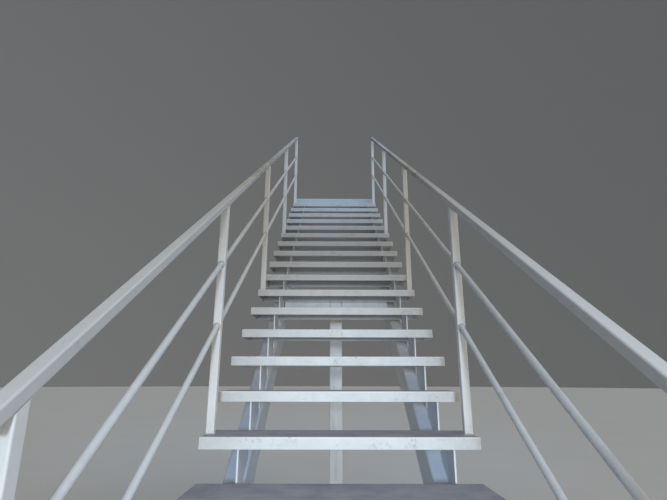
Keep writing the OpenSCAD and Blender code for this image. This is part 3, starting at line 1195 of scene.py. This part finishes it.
class STAIR_OT_rail_welds(bpy.types.Operator):
    """Welds the rail posts to the treads and the top rails, and the bars to the posts"""

    bl_idname = "stair.rail_welds"
    bl_label = "Weld rails"

    def execute(self, context):
        sizes = context.scene.stair_welds
        for index, (side, sign) in enumerate(SIDES.items()):
            weld = Welder(POST_SEED + index)
            for points in islands(f"rail_posts_{side}"):
                self.weld_foot(weld, points, sign, sizes)
                self.weld_head(weld, points, sizes)
            weld.finish(f"post_welds_{side}")
            weld = Welder(BAR_SEED + index)
            for level in ("upper", "lower"):
                for points in islands(f"{level}_mid_rail_{side}"):
                    self.weld_bar(weld, points, sizes.bar_leg)
            weld.finish(f"bar_welds_{side}")
        return {"FINISHED"}

    def weld_foot(self, weld, points, sign, sizes):
        """A bead on three sides of a post's foot, and a fill over the tread's rounded fold on the fourth."""
        rounding = bpy.context.scene.stair_rounding
        low, high = extent(points)
        outer, inner = (low.x, high.x) if sign < 0 else (high.x, low.x)
        inward = AXIS_X * -sign
        edge = rounding.fold
        r = rounding.post
        path = [(Vector((outer, low.y, low.z)) + inward * edge, -AXIS_Y, AXIS_Z)]
        centre = Vector((inner, low.y + r, low.z)) - inward * r
        path += weld.corner(centre, -AXIS_Y * r, inward * r, AXIS_Z, AXIS_Z)
        centre = Vector((inner, high.y - r, low.z)) - inward * r
        path += weld.corner(centre, inward * r, AXIS_Y * r, AXIS_Z, AXIS_Z)
        path.append((Vector((outer, high.y, low.z)) + inward * edge, AXIS_Y, AXIS_Z))
        weld.bead(path, sizes.post_leg)
        fill = inward * (sizes.fill_leg * FILL_INSET)
        start, end = Vector((outer, low.y + r, low.z)), Vector((outer, high.y - r, low.z))
        weld.straight(start + fill, end + fill, -inward, -AXIS_Z, sizes.fill_leg)

    def weld_head(self, weld, points, sizes):
        """Beads before and behind a post's head, and fills under the rail's rounded sides."""
        r = bpy.context.scene.stair_rounding.post
        low, high = extent(points)
        front_z = max(point.z for point in points if close_to(point.y, low.y))
        front_left, front_right = Vector((low.x + r, low.y, front_z)), Vector((high.x - r, low.y, front_z))
        back_left, back_right = Vector((low.x + r, high.y, high.z)), Vector((high.x - r, high.y, high.z))
        weld.straight(front_left, front_right, -flight.up_slope, -AXIS_Z, sizes.post_leg)
        weld.straight(back_left, back_right, flight.up_slope, -AXIS_Z, sizes.post_leg)
        for start, end, out in ((front_left, back_left, -AXIS_X), (front_right, back_right, AXIS_X)):
            shift = out * (r - sizes.fill_leg * FILL_INSET)
            inset = (end - start) * FILL_SHORT
            weld.straight(start + shift + inset, end + shift - inset, out, flight.off_slope, sizes.fill_leg)

    def weld_bar(self, weld, points, leg):
        """Beads round both ends of one bar."""
        low, high = extent(points)
        lower_rim = [point for point in points if close_to(point.y, low.y)]
        upper_rim = [point for point in points if close_to(point.y, high.y)]
        weld.bar_end(lower_rim, AXIS_Y, flight.up_slope, leg)
        weld.bar_end(upper_rim, -AXIS_Y, -flight.up_slope, leg)


class STAIR_OT_frame_welds(bpy.types.Operator):
    """Welds the stringers, the cross beam, the centre post and their plates"""

    bl_idname = "stair.frame_welds"
    bl_label = "Weld frame"

    def execute(self, context):
        sizes = context.scene.stair_welds
        rounding = context.scene.stair_rounding
        for index, (side, sign) in enumerate(SIDES.items()):
            weld = Welder(FRAME_SEED + index)
            points = islands(f"stringer_{side}")[0]
            self.weld_stringer(weld, points, rounding.stringer, sizes.frame_leg)
            self.weld_landing(weld, side, sizes.gusset_leg)
            self.weld_beam(weld, side, sign, extent(points)[0], sizes, rounding.trestle)
            weld.finish(f"frame_welds_{side}")
        weld = Welder(CENTRE_SEED)
        low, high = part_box("centre_post")
        r = rounding.trestle
        halves = (AXIS_X * (high.x - low.x) / 2, AXIS_Y * (high.y - low.y) / 2)
        foot = Vector(((low.x + high.x) / 2, (low.y + high.y) / 2, low.z))
        weld.tube_end(foot, halves, (AXIS_X * r, AXIS_Y * r), (AXIS_Z,) * 4, sizes.frame_leg)
        for y, out in ((low.y, -AXIS_Y), (high.y, AXIS_Y)):
            left, right = Vector((low.x + r, y, high.z)), Vector((high.x - r, y, high.z))
            weld.straight(left, right, out, -AXIS_Z, sizes.fill_leg)
        weld.finish("centre_post_welds")
        return {"FINISHED"}

    def weld_stringer(self, weld, points, r, leg):
        """Closed beads round a stringer's foot and its upper end."""
        low, high = extent(points)
        half_x = AXIS_X * (high.x - low.x) / 2
        x = (low.x + high.x) / 2
        foot = [point.y for point in points if close_to(point.z, low.z)]
        centre = Vector((x, (min(foot) + max(foot)) / 2, low.z))
        halves = (half_x, AXIS_Y * (max(foot) - min(foot)) / 2)
        rounds = (AXIS_X * r, AXIS_Y * (r / math.sin(flight.pitch)))
        alongs = (AXIS_Z, flight.up_slope, AXIS_Z, flight.up_slope)
        weld.tube_end(centre, halves, rounds, alongs, leg)
        end = [point.z for point in points if close_to(point.y, high.y)]
        centre = Vector((x, high.y, (min(end) + max(end)) / 2))
        halves = (half_x, AXIS_Z * (max(end) - min(end)) / 2)
        rounds = (AXIS_X * r, AXIS_Z * (r / math.cos(flight.pitch)))
        alongs = (-AXIS_Y, -flight.up_slope, -AXIS_Y, -flight.up_slope)
        weld.tube_end(centre, halves, rounds, alongs, leg)

    def weld_landing(self, weld, side, leg):
        """Stitches between an end plate and the landing edge above it."""
        low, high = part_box(f"end_plate_{side}")
        clear = weld.sizes.corner_clear
        start, end = Vector((low.x + clear, low.y, high.z)), Vector((high.x - clear, low.y, high.z))
        weld.stitches(start, end, -AXIS_Y, -AXIS_Z, leg)

    def weld_beam(self, weld, side, sign, foot, sizes, r):
        """Beads at both ends of one half of the cross beam, with foot the lowest point of its stringer."""
        low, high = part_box(f"cross_beam_{side}")
        outer, inner = (low.x, high.x) if sign < 0 else (high.x, low.x)
        inward = AXIS_X * -sign
        stringer_top = foot.z + (low.y - foot.y) * flight.slope
        path = [(Vector((outer, low.y, stringer_top - 2 * r)), -AXIS_Y, inward)]
        centre = Vector((outer, low.y + r, low.z + r))
        path += weld.corner(centre, -AXIS_Y * r, -AXIS_Z * r, inward, inward)
        centre = Vector((outer, high.y - r, low.z + r))
        path += weld.corner(centre, -AXIS_Z * r, AXIS_Y * r, inward, inward)
        path.append((Vector((outer, high.y, high.z - r)), AXIS_Y, inward))
        weld.bead(path, sizes.frame_leg)
        start, end = Vector((inner, low.y + r, low.z)), Vector((inner, high.y - r, low.z))
        weld.straight(start, end, -inward, -AXIS_Z, sizes.frame_leg)
        for y, out in ((low.y, -AXIS_Y), (high.y, AXIS_Y)):
            shift = inward * (sizes.fill_leg * FILL_OVERLAP) - out * (sizes.fill_leg * FILL_INSET)
            start, end = Vector((inner, y, low.z + r / 2)), Vector((inner, y, high.z - r / 2))
            weld.straight(start + shift, end + shift, out, inward, sizes.fill_leg)


class STAIR_OT_bolts(bpy.types.Operator):
    """Sets anchor bolts in the holes of the foot, base and end plates"""

    bl_idname = "stair.bolts"
    bl_label = "Set bolts"

    def execute(self, context):
        turns = random.Random(BOLT_SEED)
        for node in FLOOR_PLATES:
            self.bolt_plate(node, 2, Matrix.Identity(4), turns)
        for node in END_PLATES:
            self.bolt_plate(node, 1, Matrix.Rotation(math.pi / 2, 4, "X"), turns)
        return {"FINISHED"}

    def bolt_plate(self, node, axis, stand, turns):
        """Bolts in all holes of one plate, on its top if it lies and on its front if it stands."""
        low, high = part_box(node)
        bm = bmesh.new()
        for centre in self.holes(node, axis):
            centre[axis] = high.z if axis == 2 else low.y
            turn = turns.uniform(0, math.pi / 3)
            add_bolt(bm, Matrix.Translation(centre) @ stand, turn, high[axis] - low[axis])
        add_piece(f"{node}_bolts", bm, [zinc_steel("stained_zinc")])

    def holes(self, node, axis):
        """Middles of the bolt holes that go through a plate along an axis."""
        low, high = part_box(node)
        across = [number for number in range(3) if number != axis]
        rims = []
        for point in islands(node)[0]:
            at_ends = [close_to(point[number], low[number]) or close_to(point[number], high[number])
                       for number in across]
            if all(at_ends):
                # One of the plate's own corners
                continue
            for rim in rims:
                if all(abs(point[number] - rim[0][number]) < RIM_REACH for number in across):
                    rim.append(point)
                    break
            else:
                rims.append([point])
        return [sum(extent(rim), Vector()) / 2 for rim in rims]


class STAIR_OT_drips(bpy.types.Operator):
    """Hangs paint drips under some of the treads"""

    bl_idname = "stair.drips"
    bl_label = "Hang drips"

    def execute(self, context):
        places = random.Random(DRIP_SEED)
        bm = bmesh.new()
        more = []
        for _ in range(MORE_DRIPS):
            more.append((places.choice(flight.treads), places.uniform(-DRIP_REACH, DRIP_REACH)))
        for node, x in (*DRIPS, *more):
            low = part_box(node)[0]
            size, drop = places.uniform(*DRIP_RADIUS), places.uniform(*DRIP_LENGTH)
            add_drip(bm, Matrix.Translation((x, low.y + DRIP_INSET, low.z)), size, drop)
        add_piece("paint_drips", bm, [weld_enamel("enamelled_welds")])
        return {"FINISHED"}


class STAIR_PT_panel(bpy.types.Panel):
    """Lists the pieces of the stair and their sizes"""

    bl_label = "Steel stair"
    bl_idname = "STAIR_PT_panel"
    bl_space_type = "VIEW_3D"
    bl_region_type = "UI"
    bl_category = "Stair"

    def draw(self, context):
        layout = self.layout
        for kind in OPERATORS:
            layout.operator(kind.bl_idname)
        for name, kind in SETTINGS.items():
            box = layout.box()
            box.label(text=name.replace("stair_", "").capitalize())
            for key in kind.__annotations__:
                box.prop(getattr(context.scene, name), key)


OPERATORS = (
    STAIR_OT_camera, STAIR_OT_stage, STAIR_OT_treads, STAIR_OT_stringers, STAIR_OT_gussets, STAIR_OT_plates,
    STAIR_OT_posts, STAIR_OT_rails, STAIR_OT_beams, STAIR_OT_gusset_welds, STAIR_OT_rail_welds,
    STAIR_OT_frame_welds, STAIR_OT_bolts, STAIR_OT_drips,
)
SETTINGS = {
    "stair_rounding": StairRounding,
    "stair_welds": StairWelds,
    "stair_bolts": StairBolts,
    "stair_finish": StairFinish,
    "stair_view": StairView,
    "stair_stage": StairStage,
}
CLASSES = (*SETTINGS.values(), *OPERATORS, STAIR_PT_panel)


def register():
    for kind in CLASSES:
        bpy.utils.register_class(kind)
    for name, kind in SETTINGS.items():
        setattr(bpy.types.Scene, name, PointerProperty(type=kind))


def unregister():
    for name in SETTINGS:
        delattr(bpy.types.Scene, name)
    for kind in reversed(CLASSES):
        bpy.utils.unregister_class(kind)


def main():
    register()
    bpy.ops.stair.camera()
    bpy.ops.stair.stage()
    bpy.ops.stair.treads()
    bpy.ops.stair.stringers()
    bpy.ops.stair.gussets()
    bpy.ops.stair.plates()
    bpy.ops.stair.posts()
    bpy.ops.stair.rails()
    bpy.ops.stair.beams()
    bpy.ops.stair.gusset_welds()
    bpy.ops.stair.rail_welds()
    bpy.ops.stair.frame_welds()
    bpy.ops.stair.bolts()
    bpy.ops.stair.drips()


if __name__ == "__main__":
    main()
